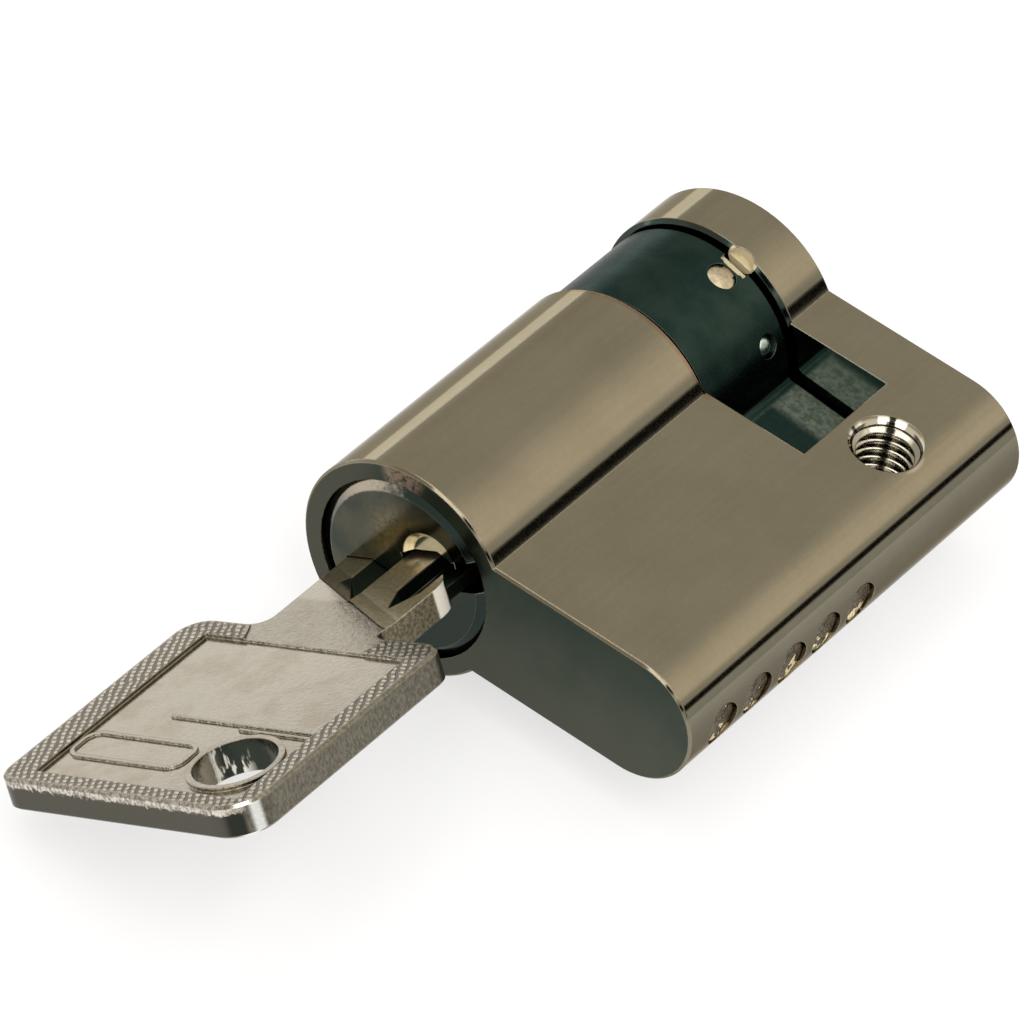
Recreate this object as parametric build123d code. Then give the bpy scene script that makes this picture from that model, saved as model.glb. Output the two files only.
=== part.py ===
from build123d import *
from math import cos, hypot, pi, radians, sin
import os

# Half euro profile lock cylinder, lying on its side with its key in the plug.
# Row frame, in millimetres: the origin is on the fixing screw's axis in the profile's middle
# plane, +Z out of the flat side, +X towards the foot, +Y from the key side to the back.

PAST = 1.0                 # how far a cut runs past the face that it opens

# Housing
BARREL_D = 17.0            # round part of the profile
PROFILE_H = 33.0           # barrel crown to foot
WEB_T = 10.0               # thickness of the flat part
FRONT_LENGTH = 30.0        # key side face to screw axis
BACK_LENGTH = 10.0         # screw axis to back face
AXIS_TO_SCREW = 18.9       # plug axis to screw axis
PROFILE_CHAMFER = 0.18
GAP_FRONT = 5.14           # front wall of the cam gap, ahead of the screw axis
GAP_BACK = 5.0             # back wall of the cam gap, behind the screw axis
GAP_FLOOR = 15.33          # depth of the cam gap, measured from the plug axis
GAP_EDGE_BREAK = 0.28      # on the barrel, where the gap opens

# Fixing screw thread, M5
SCREW_D = 5.0
SCREW_PITCH = 0.8
SCREW_CORE_D = 4.2
SCREW_RIM_D = 5.7          # mouth of the countersink
THREAD_ROOT = 0.1          # half width of a thread groove at its bottom
THREAD_MOUTH = 0.32        # and at the core
THREAD_LAP = 0.02          # how far a groove's section reaches into the core

# Plug
FLANGE_D = 14.0
FLANGE_T = 2.0
PLUG_D = 13.0
TAIL_D = 11.0
JOURNAL_D = 8.0
JOURNAL_LENGTH = 2.8
FACE_BEVEL_W = 0.8         # bevel round the plug's face, across it
FACE_BEVEL_DEPTH = 0.45    # and along the plug
SHOULDER_SEAT = 0.05       # axial play under the flange
RUNNING = 0.04             # radial play of the plug, the tail and the journal

# Turn of the moving pieces about the plug axis, as photographed
KEY_TURN = 30.0            # key and plug, foot side lifted
CAM_TURN = -5.0            # cam nose, dipped

# Cam
CAM_RING_D = 16.2
CAM_NOSE_R = 15.0          # reach of the nose from the plug axis
CAM_NOSE_T = 3.2
CAM_NOSE_ROUND = 0.5
CAM_FRONT_PLAY = 0.24
CAM_BACK_PLAY = 0.6
CAM_FILLET = 0.6

# Retaining clip behind the cam
CLIP_T = 0.4
CLIP_D = 12.8
CLIP_GROOVE_D = 10.0
CLIP_MOUTH = 100.0         # opening of the C, in degrees
CLIP_PLAY = 0.05

# Release button and steel ball in the cam's ring
BUTTON_D = 2.1
BUTTON_HOLE_D = 2.2
BUTTON_TURN = 80.3         # place round the ring, from the nose
BUTTON_BACK = 2.85         # place along the ring, from the cam's middle
BUTTON_LENGTH = 3.6
BUTTON_SINK = 0.02         # crown below the ring's surface
BUTTON_DOME = 0.2
BUTTON_TRAVEL = 2.6
BALL_D = 1.8
BALL_TURN = 37.2           # place round the ring, from the nose
BALL_SEAT_DEPTH = 1.85

# Shallow milled relief behind the button, in the ring's back edge and the housing's rim
RELIEF_FRONT = 4.05        # flat end, behind the cam's middle
RELIEF_BACK = 5.9          # round end
RELIEF_W = 2.2
RELIEF_FLOOR_R = 7.75      # distance of its floor from the plug axis

# Pin stacks
PIN_COUNT = 5
PIN_FIRST = 4.0            # first stack, behind the front face
PIN_PITCH = 4.1
CHAMBER_D = 3.0
PIN_D = 2.9
DRIVER_LENGTH = 5.5
DRIVER_WAIST_D = 2.3
DRIVER_WAIST_LENGTH = 1.8
DRIVER_PLAY = 0.08         # driver above the plug's surface
KEY_PIN_NOSE = 0.9         # height of the cone at the key end
KEY_PIN_SINK = 0.06        # key pin below the plug's surface
KEY_PIN_PLAY = 0.22        # key pin above its cut
KEY_PIN_BOTTOM = 2.2       # key pin's lowest place, with no key in the plug
CHAMBER_FLOOR_PLAY = 0.1   # chamber floor below that place
CHAMBER_PLUG_D = 3.3
CHAMBER_PLUG_T = 2.2
CHAMBER_PLUG_SINK = 0.35   # below the foot's crown
CHAMBER_PLUG_BEVEL = 0.17

# Springs
WIRE_D = 0.32
PIN_SPRING_D = 2.7         # outside
PIN_SPRING_TURNS = 8
BUTTON_WIRE_D = 0.22
BUTTON_SPRING_D = 1.7
BUTTON_SPRING_TURNS = 5
SPRING_SEAT = 0.05
POINTS_PER_TURN = 72       # of the measured gap between turns

# Key: along its width, its length out of the front face, and its thickness
BOW_LEFT = -10.2
BOW_RIGHT = 12.1
BOW_END = 32.1
BOW_SHOULDER_LEFT = 10.5
BOW_SHOULDER_RIGHT = 10.1
BOW_T = 2.45
BOW_ROUND_TOP_LEFT = 2.3
BOW_ROUND_TOP_RIGHT = 1.3
BOW_ROUND_END_LEFT = 1.5
BOW_ROUND_END_RIGHT = 3.0
BOW_EDGE_BREAK = 0.2
NECK_RELIEF = 0.12         # neck below the rim, each side
NECK_ROUND_LEFT = 1.5      # between the bow's shoulder and the neck
NECK_ROUND_RIGHT = 0.7
NECK_PATCH_LEFT = -4.0     # ends of the neck's level where it meets the panel
NECK_PATCH_RIGHT = 6.6
NECK_PATCH_SLANT = 0.7
NECK_BEVEL_W = 0.9         # slope along the plain edge, from the neck's top to the rib's
RIM_LEFT_W = 2.6
RIM_RIGHT_W = 1.7
RIM_END_W = 1.4
PANEL_DEPTH = 0.3
PANEL_TOP = 12.3
RING_HOLE_X = 6.9
RING_HOLE_Y = 26.6
RING_HOLE_D = 6.0
RING_LIP_D = 6.9
BLADE_LEFT = -4.85
BLADE_RIGHT = 5.9
BLADE_TOP = 0.95           # ridge and cut rib above the key's middle plane
BLADE_BACK = 1.2           # back of the blade below it
PLAIN_RIB_TOP = 0.52       # rib beside the plain edge above it
PLAIN_RIB_RIGHT = -2.6     # inner edge of that rib, where its groove's wall slants down
BLADE_TIP = 24.2           # behind the front face
BLADE_START_LEFT = 3.45    # where the blade starts, on its plain edge
BLADE_START_RIGHT = 9.2    # and on its cut edge
RAMP_LENGTH = 1.3          # slope from the neck down to the ridge
PLAIN_RAMP_LENGTH = 1.9    # and down to the rib beside the plain edge
BLADE_SHOULDER = 2.3       # end of the uncut edge, ahead of the front face
SHOULDER_ROUND = 2.5
TIP_ROUND = 1.2
RIDGE_LEFT = 0.4
RIDGE_RIGHT = 3.0
CUT_RIB_W = 0.85           # rib left beside the cut edge
GROOVE_FLOOR = -0.2        # groove floors over the key's middle plane
PLAIN_GROOVE_LEFT = -1.45  # foot of the slanting wall
PLAIN_RUNOUT_TIP = 6.0     # start of the groove beside the ridge, ahead of the front face
PLAIN_RUNOUT_END = 2.4     # where it has its full width
RUNOUT_TIP_X = 4.0         # point where the groove beside the cut edge starts
RUNOUT_TIP_Y = 6.4         # its place ahead of the front face
RUNOUT_LENGTH = 2.4
BACK_RUNOUT = 4.6          # start of the back groove, ahead of the front face
BACK_GROOVE_LEFT = 1.0
BACK_GROOVE_RIGHT = 2.7
BACK_GROOVE_DEPTH = 0.6
FIRST_CUT = 4.9            # cut edge under the first pin
CUT_STEP = 0.55            # each next cut is deeper
CUT_FLAT_END = 0.7         # level part of a cut, past the middle of its pin
KEYWAY_PLAY = 0.12
RIDGE_PLAY = 0.45          # keyway's roof over the ridge
WARD_TIP = 0.5             # ward beside the cut rib, above the key's middle plane
WARD_TIP_W = 0.7
LEAD_IN_D = 4.4            # countersink at the keyway's mouth
LEAD_IN_X = 2.65
LEAD_IN_Z = 0.9
LEAD_IN_DEPTH = 0.55
DIVIDER_Y = 22.1           # raised line across the panel
DIVIDER_LEFT = -2.5
DIVIDER_DOUBLE = 4.0       # where its second line starts
DIVIDER_W = 0.22
DIVIDER_GAP = 0.35
PLAQUE_LEFT = -7.3         # raised outline of a blank plaque
PLAQUE_RIGHT = 2.8
PLAQUE_TOP = 24.9
PLAQUE_END = 28.2
PLAQUE_ROUND = 1.2
PLAQUE_LINE_W = 0.32
RAISED_H = 0.16            # height of the lines over the panel

# Derived places
BARREL_R = BARREL_D / 2
PLUG_R = PLUG_D / 2
AXIS_X = -AXIS_TO_SCREW
FRONT_Y = -FRONT_LENGTH
FOOT_R = WEB_T / 2
FOOT_X = AXIS_X + PROFILE_H - BARREL_R - FOOT_R
FOOT_CROWN_X = FOOT_X + FOOT_R
GAP_FRONT_Y = -GAP_FRONT
GAP_FLOOR_X = AXIS_X + GAP_FLOOR
CAM_FRONT_Y = GAP_FRONT_Y + CAM_FRONT_PLAY
CAM_BACK_Y = GAP_BACK - CAM_BACK_PLAY
CAM_MID_Y = (CAM_FRONT_Y + CAM_BACK_Y) / 2
TAIL_FRONT_Y = CAM_FRONT_Y - CLIP_PLAY
CLIP_Y = CAM_BACK_Y + CLIP_PLAY
TAIL_BACK_Y = GAP_BACK - CLIP_PLAY
BUTTON_Y = CAM_MID_Y + BUTTON_BACK
BUTTON_CROWN_R = CAM_RING_D / 2 - BUTTON_SINK
BUTTON_FOOT_R = BUTTON_CROWN_R - BUTTON_LENGTH
BUTTON_POCKET_R = BUTTON_FOOT_R - BUTTON_TRAVEL - BUTTON_WIRE_D * (BUTTON_SPRING_TURNS + 1)
DRIVER_FOOT_R = PLUG_R + DRIVER_PLAY
DRIVER_TOP_X = AXIS_X + DRIVER_FOOT_R + DRIVER_LENGTH
CHAMBER_PLUG_TOP_X = FOOT_CROWN_X - CHAMBER_PLUG_SINK
CHAMBER_PLUG_FOOT_X = CHAMBER_PLUG_TOP_X - CHAMBER_PLUG_T
NECK_HALF = BOW_T / 2 - NECK_RELIEF
NECK_LEFT = BLADE_LEFT + NECK_BEVEL_W
CUT_RIB_LEFT = BLADE_RIGHT - CUT_RIB_W

PLUG_PLACE = Pos(AXIS_X, 0, 0) * Rot(0, -KEY_TURN, 0)
CAM_PLACE = Pos(AXIS_X, 0, 0) * Rot(0, -CAM_TURN, 0)


def stack_y(index):
    """Place of one pin stack along the cylinder."""
    return FRONT_Y + PIN_FIRST + PIN_PITCH * index


def cut_width(index):
    """Distance of the key's cut edge from the plug axis under one pin."""
    return FIRST_CUT - CUT_STEP * index


def along_y(radius, start, end, x=0.0, z=0.0):
    """Round bar parallel to the plug axis."""
    middle = (start + end) / 2
    return Pos(x, middle, z) * Rot(90, 0, 0) * Cylinder(radius, end - start)


def cone_y(start_r, end_r, start, end, x=0.0, z=0.0):
    """Cone parallel to the plug axis."""
    middle = (start + end) / 2
    return Pos(x, middle, z) * Rot(90, 0, 0) * Cone(end_r, start_r, end - start)


def along_x(radius, start, end, y=0.0, z=0.0):
    """Round bar along the pin direction."""
    middle = (start + end) / 2
    return Pos(middle, y, z) * Rot(0, 90, 0) * Cylinder(radius, end - start)


def block(x_range, y_range, z_range):
    """Box between two corners."""
    spans = (x_range, y_range, z_range)
    centre = [(low + high) / 2 for low, high in spans]
    sizes = [high - low for low, high in spans]
    return Pos(*centre) * Box(*sizes)


def profile_bar():
    """The euro profile, from the front face to the back face."""
    plane = Plane(origin=(0, FRONT_Y, 0), x_dir=(1, 0, 0), z_dir=(0, 1, 0))
    web_length = FOOT_X - AXIS_X
    outline = Pos(AXIS_X, 0) * Circle(BARREL_R)
    outline += Pos(AXIS_X + web_length / 2, 0) * Rectangle(web_length, WEB_T)
    outline += Pos(FOOT_X, 0) * Circle(FOOT_R)
    bar = extrude(plane * outline, FRONT_LENGTH + BACK_LENGTH)
    ends = bar.faces().filter_by(Axis.Y)
    return chamfer(ends.edges(), PROFILE_CHAMFER)


def screw_hole():
    """Threaded cross hole with a countersunk mouth on both sides, as the solid to take away."""
    core_r = SCREW_CORE_D / 2
    sink = (SCREW_RIM_D - SCREW_CORE_D) / 2
    mouth = Pos(0, 0, (WEB_T - sink) / 2) * Cone(core_r, SCREW_RIM_D / 2, sink)
    hole = Cylinder(core_r, WEB_T) + mouth + Rot(180, 0, 0) * mouth
    lap_r = core_r - THREAD_LAP
    crest_r = SCREW_D / 2
    turns = int(WEB_T / SCREW_PITCH)
    first = -(turns - 1) / 2 * SCREW_PITCH
    for index in range(turns):
        middle = first + index * SCREW_PITCH
        section = Polygon((lap_r, middle - THREAD_MOUTH), (crest_r, middle - THREAD_ROOT),
                          (crest_r, middle + THREAD_ROOT), (lap_r, middle + THREAD_MOUTH), align=None)
        hole += revolve(Plane.XZ * section, Axis.Z)
    return hole


def gap_rims():
    """What the broken edges take off the barrel's two rims at the cam gap."""
    web_x = (BARREL_R**2 - (WEB_T / 2)**2)**0.5
    broken_r = BARREL_R - GAP_EDGE_BREAK
    rims = []
    for wall, away in ((GAP_FRONT_Y, -GAP_EDGE_BREAK), (GAP_BACK, GAP_EDGE_BREAK)):
        start, end = sorted((wall, wall + away))
        radii = (broken_r, BARREL_R) if away > 0 else (BARREL_R, broken_r)
        rims.append(along_y(BARREL_D, start, end) - cone_y(*radii, start, end))
    barrel_side = block((-BARREL_D, web_x), (GAP_FRONT_Y - PAST, GAP_BACK + PAST), (-BARREL_D, BARREL_D))
    return Pos(AXIS_X, 0, 0) * ((rims[0] + rims[1]) & barrel_side)


def button_relief():
    """The shallow relief behind the button, as the solid to take away, with the cam's nose at +X."""
    radius = RELIEF_W / 2
    front = CAM_MID_Y + RELIEF_FRONT
    round_y = CAM_MID_Y + RELIEF_BACK - radius
    relief = block((RELIEF_FLOOR_R, BARREL_D), (front, round_y), (-radius, radius))
    relief += along_x(radius, RELIEF_FLOOR_R, BARREL_D, round_y)
    return Rot(0, -BUTTON_TURN, 0) * relief


def housing():
    """Profile body with its plug bore, cam gap, pin chambers and screw hole."""
    seat_y = FRONT_Y + FLANGE_T + SHOULDER_SEAT
    journal_end = GAP_BACK + JOURNAL_LENGTH + SHOULDER_SEAT
    body = profile_bar()
    body -= along_y(PLUG_R + RUNNING, FRONT_Y - PAST, GAP_FRONT_Y + PAST, AXIS_X)
    body -= along_y(FLANGE_D / 2 + RUNNING, FRONT_Y - PAST, seat_y, AXIS_X)
    body -= block((AXIS_X - BARREL_D, GAP_FLOOR_X), (GAP_FRONT_Y, GAP_BACK), (-BARREL_D, BARREL_D))
    body -= along_y(JOURNAL_D / 2 + RUNNING, GAP_BACK - PAST, journal_end, AXIS_X)
    body -= gap_rims()
    body -= CAM_PLACE * button_relief()
    for index in range(PIN_COUNT):
        y = stack_y(index)
        body -= along_x(CHAMBER_D / 2, AXIS_X, FOOT_CROWN_X, y)
        body -= along_x(CHAMBER_PLUG_D / 2, CHAMBER_PLUG_FOOT_X, FOOT_CROWN_X + PAST, y)
    return body - screw_hole()


def keyway_section():
    """Warded section of the keyway, seen along the key, wider than the blade by its play."""
    play = KEYWAY_PLAY
    left = BLADE_LEFT - play
    floor = GROOVE_FLOOR + play
    plain_top = PLAIN_RIB_TOP + play
    cut_top = BLADE_TOP + play
    roof = BLADE_TOP + RIDGE_PLAY
    ridge_left = RIDGE_LEFT - play
    rib = CUT_RIB_LEFT - play
    back = -BLADE_BACK - play
    ward = back + BACK_GROOVE_DEPTH
    return Polygon((left, back), (BACK_GROOVE_LEFT + play, back), (BACK_GROOVE_LEFT + play, ward),
                   (BACK_GROOVE_RIGHT - play, ward), (BACK_GROOVE_RIGHT - play, back), (PLUG_D, back),
                   (PLUG_D, cut_top), (rib, cut_top), (rib, WARD_TIP), (rib - WARD_TIP_W, WARD_TIP),
                   (RIDGE_RIGHT + play, roof), (ridge_left, roof), (ridge_left, floor),
                   (PLAIN_GROOVE_LEFT + play, floor), (PLAIN_RIB_RIGHT + play, plain_top),
                   (left, plain_top), align=None)


def key_plane(y):
    """Plane across the key, with its own X to the cut edge and its own Y out of its upper face."""
    return Plane(origin=(0, y, 0), x_dir=(1, 0, 0), z_dir=(0, -1, 0))


def keyway():
    """The slot that the blade runs in, with the countersink at its mouth."""
    length = BLADE_TIP + KEYWAY_PLAY * 2
    mouth_r = LEAD_IN_D / 2
    slot = extrude(key_plane(FRONT_Y + length) * keyway_section(), length + PAST, dir=(0, -1, 0))
    return slot + cone_y(mouth_r, mouth_r - LEAD_IN_DEPTH, FRONT_Y, FRONT_Y + LEAD_IN_DEPTH,
                         LEAD_IN_X, LEAD_IN_Z)


def plug():
    """Turning plug: flange, keyed body, tail for the cam and back journal."""
    flange_r = FLANGE_D / 2
    bevel_end = FRONT_Y + FACE_BEVEL_DEPTH
    body = along_y(flange_r, bevel_end, FRONT_Y + FLANGE_T)
    body += cone_y(flange_r - FACE_BEVEL_W, flange_r, FRONT_Y, bevel_end)
    body += along_y(PLUG_R, FRONT_Y + FLANGE_T, TAIL_FRONT_Y)
    body += along_y(TAIL_D / 2, TAIL_FRONT_Y, TAIL_BACK_Y)
    body += along_y(JOURNAL_D / 2, TAIL_BACK_Y, GAP_BACK + JOURNAL_LENGTH)
    groove = along_y(TAIL_D, CLIP_Y, TAIL_BACK_Y) - along_y(CLIP_GROOVE_D / 2, CLIP_Y, TAIL_BACK_Y)
    body -= groove
    body -= keyway()
    floor = KEY_PIN_BOTTOM - CHAMBER_FLOOR_PLAY
    for index in range(PIN_COUNT):
        body -= along_x(CHAMBER_D / 2, floor, PLUG_D, stack_y(index))
    button_turn = Rot(0, KEY_TURN - BUTTON_TURN - CAM_TURN, 0)
    body -= button_turn * along_x(BUTTON_HOLE_D / 2, BUTTON_POCKET_R, TAIL_D, BUTTON_Y)
    return PLUG_PLACE * body


def cam():
    """Driving cam: a ring on the plug's tail with one nose."""
    ring_r = CAM_RING_D / 2
    nose = block((0, CAM_NOSE_R + PAST), (CAM_FRONT_Y, CAM_BACK_Y), (-CAM_NOSE_T / 2, CAM_NOSE_T / 2))
    nose &= along_y(CAM_NOSE_R, CAM_FRONT_Y, CAM_BACK_Y)
    tips = nose.edges().filter_by(Axis.Y).sort_by(Axis.X)[-2:]
    nose = fillet(tips, CAM_NOSE_ROUND)
    body = along_y(ring_r, CAM_FRONT_Y, CAM_BACK_Y) + nose
    roots = body.edges().filter_by(Axis.Y).filter_by_position(Axis.X, ring_r - CAM_NOSE_T / 2, ring_r)
    body = fillet(roots, CAM_FILLET)
    body -= along_y(TAIL_D / 2 + RUNNING, CAM_FRONT_Y - PAST, CAM_BACK_Y + PAST)
    body -= Rot(0, -BUTTON_TURN, 0) * along_x(BUTTON_HOLE_D / 2, 0, CAM_RING_D, BUTTON_Y)
    seat = along_x(BALL_D / 2, ring_r - BALL_SEAT_DEPTH, CAM_RING_D, BUTTON_Y)
    body -= Rot(0, -BALL_TURN, 0) * seat
    body -= button_relief()
    return CAM_PLACE * body


def cam_ball():
    """Steel ball that closes a cross drilling in the cam's ring."""
    centre = CAM_RING_D / 2 - BALL_SEAT_DEPTH + BALL_D / 2
    return CAM_PLACE * Rot(0, -BALL_TURN, 0) * Pos(centre, BUTTON_Y, 0) * Sphere(BALL_D / 2)


def release_button():
    """Brass button with a domed crown, which locks the cam to the plug's tail."""
    radius = BUTTON_D / 2
    straight = BUTTON_CROWN_R - BUTTON_DOME
    crown_r = (radius**2 + BUTTON_DOME**2) / (2 * BUTTON_DOME)
    body = along_x(radius, BUTTON_FOOT_R, BUTTON_CROWN_R, BUTTON_Y)
    ball = Pos(BUTTON_CROWN_R - crown_r, BUTTON_Y, 0) * Sphere(crown_r)
    body &= ball + along_x(radius, BUTTON_FOOT_R, straight, BUTTON_Y)
    return CAM_PLACE * Rot(0, -BUTTON_TURN, 0) * body


def turn_gap(wire, mean_r, turns, rise):
    """Least gap of a spring to itself, from its first point to those over half a turn on."""
    gaps = []
    for step in range(POINTS_PER_TURN // 2, POINTS_PER_TURN * turns + 1):
        angle = 2 * pi * step / POINTS_PER_TURN
        climb = rise * step / (POINTS_PER_TURN * turns)
        gaps.append(hypot(mean_r * (cos(angle) - 1), mean_r * sin(angle), climb) - wire)
    return min(gaps)


def coil(wire, outside, turns, length):
    """Open helical spring along +X from the origin, as one unbroken tube."""
    mean_r = (outside - wire) / 2
    rise = length - wire
    path = Helix(pitch=rise / turns, height=rise, radius=mean_r)
    section = Plane(origin=path @ 0, z_dir=path % 0) * Circle(wire / 2)
    print("least gap between the turns of a spring, mm:", round(turn_gap(wire, mean_r, turns, rise), 3))
    return Pos(wire / 2, 0, 0) * Rot(0, 90, 0) * sweep(section, path=path, is_frenet=True)


def button_spring():
    """Small spring under the release button, in the plug's tail."""
    start = BUTTON_POCKET_R + SPRING_SEAT
    length = BUTTON_FOOT_R - SPRING_SEAT - start
    spring = coil(BUTTON_WIRE_D, BUTTON_SPRING_D, BUTTON_SPRING_TURNS, length)
    return CAM_PLACE * Rot(0, -BUTTON_TURN, 0) * Pos(start, BUTTON_Y, 0) * spring


def retaining_clip():
    """Open ring pressed onto the plug's tail behind the cam."""
    inner = CLIP_GROOVE_D / 2 + CLIP_PLAY
    start = CLIP_Y - PAST
    end = CLIP_Y + CLIP_T + PAST
    ring = along_y(CLIP_D / 2, CLIP_Y, CLIP_Y + CLIP_T) - along_y(inner, start, end)
    half = radians(CLIP_MOUTH / 2)
    far_x = CLIP_D * cos(half)
    far_y = CLIP_D * sin(half)
    wedge = Polygon((0, 0), (far_x, far_y), (far_x, -far_y), align=None)
    plane = Plane(origin=(0, start, 0), x_dir=(-1, 0, 0), z_dir=(0, 1, 0))
    ring -= extrude(plane * wedge, end - start, dir=(0, 1, 0))
    return PLUG_PLACE * ring


def key_pin(index):
    """Pin that rides on one cut of the key, and ends at the plug's surface."""
    radius = PIN_D / 2
    foot = cut_width(index) + KEY_PIN_PLAY
    shoulder = foot + KEY_PIN_NOSE
    nose = Rot(0, 90, 0) * Cone(radius - KEY_PIN_NOSE, radius, KEY_PIN_NOSE)
    pin = Pos((foot + shoulder) / 2, stack_y(index), 0) * nose
    pin += along_x(radius, shoulder, shoulder + PLUG_R, stack_y(index))
    return PLUG_PLACE * (pin & along_y(PLUG_R - KEY_PIN_SINK, FRONT_Y, CAM_FRONT_Y))


def driver_pin(index):
    """Waisted driver pin in the housing, resting just over the plug."""
    radius = PIN_D / 2
    y = stack_y(index)
    start = AXIS_X + DRIVER_FOOT_R
    middle = (start + DRIVER_TOP_X) / 2
    body = along_x(radius, start, DRIVER_TOP_X, y)
    waist = along_x(PIN_D, middle - DRIVER_WAIST_LENGTH / 2, middle + DRIVER_WAIST_LENGTH / 2, y)
    waist -= along_x(DRIVER_WAIST_D / 2, start, DRIVER_TOP_X, y)
    return body - waist


def pin_spring(index):
    """Spring between one driver pin and its chamber plug."""
    start = DRIVER_TOP_X + SPRING_SEAT
    length = CHAMBER_PLUG_FOOT_X - SPRING_SEAT - start
    return Pos(start, stack_y(index), 0) * coil(WIRE_D, PIN_SPRING_D, PIN_SPRING_TURNS, length)


def chamber_plug(index):
    """Pressed brass plug that closes one chamber in the foot."""
    plug_body = along_x(CHAMBER_PLUG_D / 2, CHAMBER_PLUG_FOOT_X, CHAMBER_PLUG_TOP_X, stack_y(index))
    rim = plug_body.edges().filter_by(GeomType.CIRCLE).sort_by(Axis.X)[-1:]
    return chamfer(rim, CHAMBER_PLUG_BEVEL)


def shoulder_y(width):
    """Place of the bow's slightly slanting shoulder, at a distance across the key."""
    share = (width - BOW_LEFT) / (BOW_RIGHT - BOW_LEFT)
    return FRONT_Y - BOW_SHOULDER_LEFT - (BOW_SHOULDER_RIGHT - BOW_SHOULDER_LEFT) * share


def bow_outline():
    """Key bow seen from above."""
    end = FRONT_Y - BOW_END
    bow = make_face(Polyline((BOW_LEFT, end), (BOW_RIGHT, end), (BOW_RIGHT, shoulder_y(BOW_RIGHT)),
                             (BOW_LEFT, shoulder_y(BOW_LEFT)), close=True))
    corners = bow.vertices().sort_by(Axis.Y)
    end_left, end_right = corners[:2].sort_by(Axis.X)
    top_left, top_right = corners[2:].sort_by(Axis.X)
    for corner, radius in ((end_left, BOW_ROUND_END_LEFT), (end_right, BOW_ROUND_END_RIGHT),
                           (top_left, BOW_ROUND_TOP_LEFT), (top_right, BOW_ROUND_TOP_RIGHT)):
        nearest = bow.vertices().sort_by_distance(corner.center())[0]
        bow = fillet(nearest, radius)
    return bow


def neck_corner(edge, radius, side):
    """Concave corner between the bow's shoulder and one edge of the neck, seen from above."""
    shoulder = shoulder_y(edge + radius * side)
    depth = radius + PANEL_TOP - BOW_SHOULDER_LEFT
    square = Pos(edge + radius / 2 * side, shoulder + radius - depth / 2) * Rectangle(radius, depth)
    return square - Pos(edge + radius * side, shoulder + radius) * Circle(radius)


def panel_lines():
    """Raised lines on a panel, seen from above: the divider and the blank plaque's outline."""
    width = PLAQUE_RIGHT - PLAQUE_LEFT
    height = PLAQUE_END - PLAQUE_TOP
    line = PLAQUE_LINE_W
    outline = RectangleRounded(width, height, PLAQUE_ROUND)
    outline -= RectangleRounded(width - line * 2, height - line * 2, PLAQUE_ROUND - line)
    lines = Pos((PLAQUE_LEFT + PLAQUE_RIGHT) / 2, FRONT_Y - (PLAQUE_TOP + PLAQUE_END) / 2) * outline
    right = BOW_RIGHT - RIM_RIGHT_W
    for left, offset in ((DIVIDER_LEFT, 0), (DIVIDER_DOUBLE, DIVIDER_W + DIVIDER_GAP)):
        lines += Pos((left + right) / 2, FRONT_Y - DIVIDER_Y - offset) * Rectangle(right - left, DIVIDER_W)
    return lines


def neck_patch():
    """Part of the bow's face that lies at the neck's level, seen from above."""
    panel = FRONT_Y - PANEL_TOP
    left = NECK_LEFT - NECK_ROUND_LEFT
    right = NECK_PATCH_RIGHT + NECK_PATCH_SLANT
    return Polygon((left, shoulder_y(left) + PAST), (NECK_PATCH_LEFT, panel), (NECK_PATCH_RIGHT, panel),
                   (right, shoulder_y(right) + PAST), align=None)


def blade_outline():
    """Neck and blade seen from above: plain edge, rounded shoulder and descending cuts."""
    inside = FRONT_Y - PANEL_TOP
    shoulder = FRONT_Y - BLADE_SHOULDER
    points = [(BLADE_LEFT, inside), (BLADE_RIGHT, inside), (BLADE_RIGHT, shoulder),
              (FIRST_CUT, shoulder + BLADE_RIGHT - FIRST_CUT)]
    for index in range(PIN_COUNT - 1):
        flat_end = stack_y(index) + CUT_FLAT_END
        points.append((cut_width(index), flat_end))
        points.append((cut_width(index + 1), flat_end + CUT_STEP))
    tip_y = FRONT_Y + BLADE_TIP
    last = cut_width(PIN_COUNT - 1)
    points.append((last, tip_y - TIP_ROUND))
    points.append((last - TIP_ROUND, tip_y))
    points.append((BLADE_LEFT + TIP_ROUND, tip_y))
    points.append((BLADE_LEFT, tip_y - TIP_ROUND))
    outline = Polygon(*points, align=None)
    return fillet(outline.vertices().sort_by_distance((BLADE_RIGHT, shoulder, 0))[0], SHOULDER_ROUND)


def slab(outline, low, high):
    """Flat outline of the key given its thickness, between two heights over the middle plane."""
    return extrude(Pos(0, 0, low) * outline, high - low, dir=(0, 0, 1))


def key_bow():
    """Bow with its rim, sunk panels on both faces and lipped ring hole."""
    half = BOW_T / 2
    bow = slab(bow_outline(), -half, half)
    bow = chamfer(bow.edges().filter_by(Plane.XY), BOW_EDGE_BREAK)
    inner_left = BOW_LEFT + RIM_LEFT_W
    inner_right = BOW_RIGHT - RIM_RIGHT_W
    panel_end = BOW_END - RIM_END_W
    panel = Pos((inner_left + inner_right) / 2, FRONT_Y - (panel_end + PANEL_TOP) / 2) \
        * Rectangle(inner_right - inner_left, panel_end - PANEL_TOP)
    ring_hole = Pos(RING_HOLE_X, FRONT_Y - RING_HOLE_Y)
    panel -= ring_hole * Circle(RING_LIP_D / 2)
    floor = half - PANEL_DEPTH
    lines = panel_lines()
    for side in (1, -1):
        face = half * side
        bow -= slab(panel, *sorted((face - PANEL_DEPTH * side, face)))
        bow += slab(lines, *sorted((floor * side, (floor + RAISED_H) * side)))
        bow -= slab(neck_patch(), *sorted((NECK_HALF * side, face)))
    return bow - slab(ring_hole * Circle(RING_HOLE_D / 2), -half, half)


def along_key(points, start, end):
    """Prism along the key, from its section's corners."""
    return extrude(key_plane(end) * Polygon(*points, align=None), end - start, dir=(0, -1, 0))


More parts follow.
